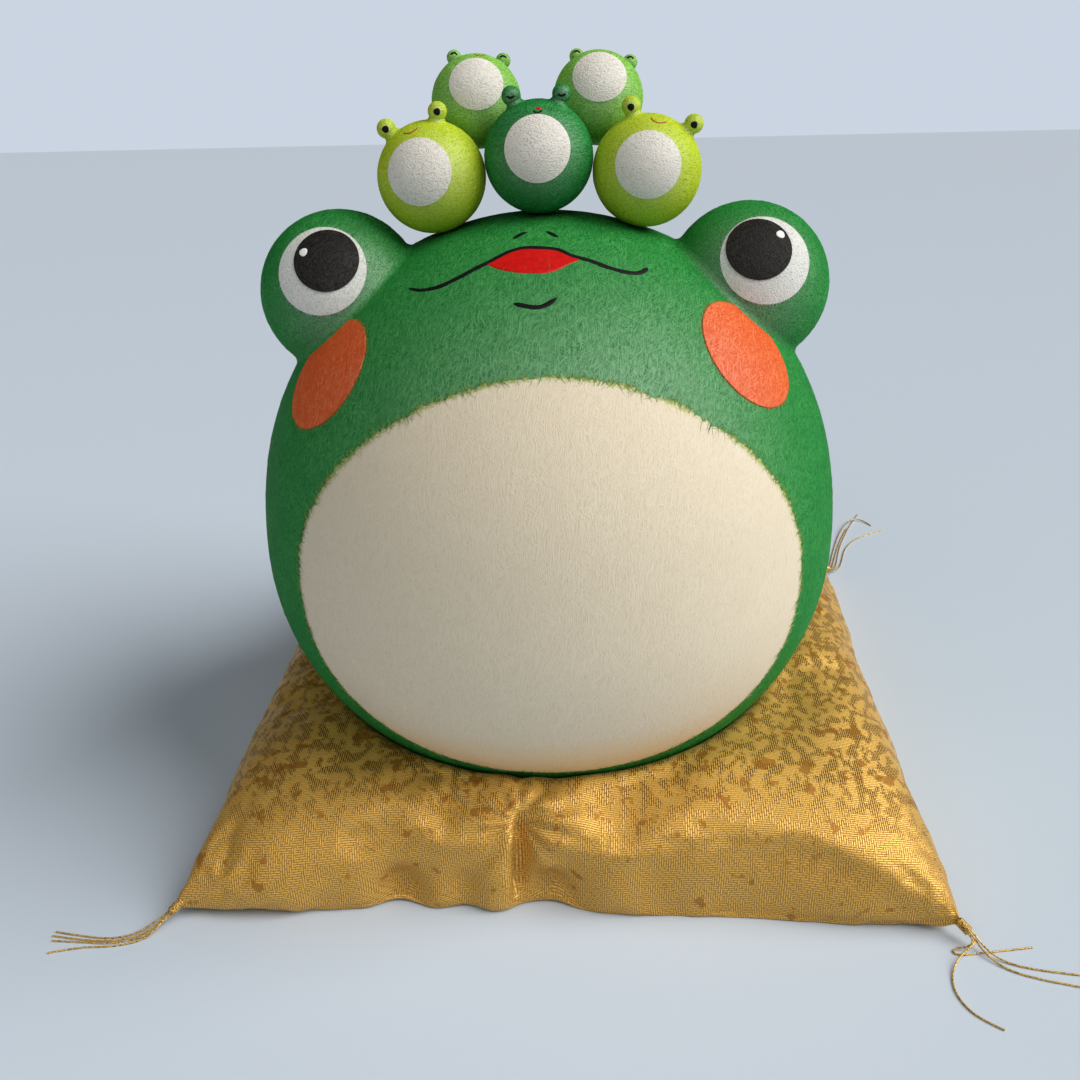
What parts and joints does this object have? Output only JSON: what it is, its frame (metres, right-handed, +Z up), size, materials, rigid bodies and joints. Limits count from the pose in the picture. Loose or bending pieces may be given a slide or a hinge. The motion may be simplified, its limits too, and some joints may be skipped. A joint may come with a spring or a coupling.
{
  "type": "papier-mache lucky frog on a cushion",
  "caption": "Hollow round papier-mache frog in fibrous green paper with small ball frogs glued on its head, sitting in the dent of a square gold brocade cushion with corner threads.",
  "frame": {"origin": "on the floor, under the middle of the cushion", "axes": "+Z up; the frog faces -Y; +X is towards the right of the front view"},
  "size_m": [0.3009, 0.3154, 0.221],
  "materials": {
    "body_paper": "fibrous handmade paper, green, waxed",
    "belly_paper": "fibrous handmade paper, cream, torn edge",
    "white_paper": "fibrous handmade paper, white",
    "pupil_paper": "matt charcoal paper",
    "cheek_paper": "fibrous handmade paper, orange",
    "lime_paper": "fibrous handmade paper, yellow green",
    "dark_paper": "fibrous handmade paper, dark green",
    "light_paper": "fibrous handmade paper, light green shading to mid green",
    "small_belly_paper": "fibrous handmade paper, off white",
    "brocade": "gold brocade, ribbed weave with darker blotches",
    "gold_thread": "metallic gold lame thread"
  },
  "bodies": {
    "root": {"frog_body": "body_paper", "belly_paper": "belly_paper", "eye_white_left": "white_paper", "pupil_left": "pupil_paper", "cheek_left": "cheek_paper", "eye_white_right": "white_paper", "pupil_right": "pupil_paper", "cheek_right": "cheek_paper", "small_left_ball": "lime_paper", "small_left_belly": "small_belly_paper", "small_left_eye_left": "lime_paper", "small_left_eye_right": "lime_paper", "small_middle_ball": "dark_paper", "small_middle_belly": "small_belly_paper", "small_middle_eye_left": "dark_paper", "small_middle_eye_right": "dark_paper", "small_right_ball": "lime_paper", "small_right_belly": "small_belly_paper", "small_right_eye_left": "lime_paper", "small_right_eye_right": "lime_paper", "small_back_left_ball": "light_paper", "small_back_left_belly": "small_belly_paper", "small_back_left_eye_left": "light_paper", "small_back_left_eye_right": "light_paper", "small_back_right_ball": "light_paper", "small_back_right_belly": "small_belly_paper", "small_back_right_eye_left": "light_paper", "small_back_right_eye_right": "light_paper", "cushion": "brocade", "knot_front_left": "gold_thread", "knot_front_right": "gold_thread", "knot_back_left": "gold_thread", "knot_back_right": "gold_thread", "thread_front_left_1": "gold_thread", "thread_front_left_2": "gold_thread", "thread_front_left_3": "gold_thread", "thread_front_left_4": "gold_thread", "thread_front_right_1": "gold_thread", "thread_front_right_2": "gold_thread", "thread_front_right_3": "gold_thread", "thread_front_right_4": "gold_thread", "thread_back_left_1": "gold_thread", "thread_back_left_2": "gold_thread", "thread_back_left_3": "gold_thread", "thread_back_left_4": "gold_thread", "thread_back_right_1": "gold_thread", "thread_back_right_2": "gold_thread", "thread_back_right_3": "gold_thread", "thread_back_right_4": "gold_thread"}
  },
  "joints": []
}
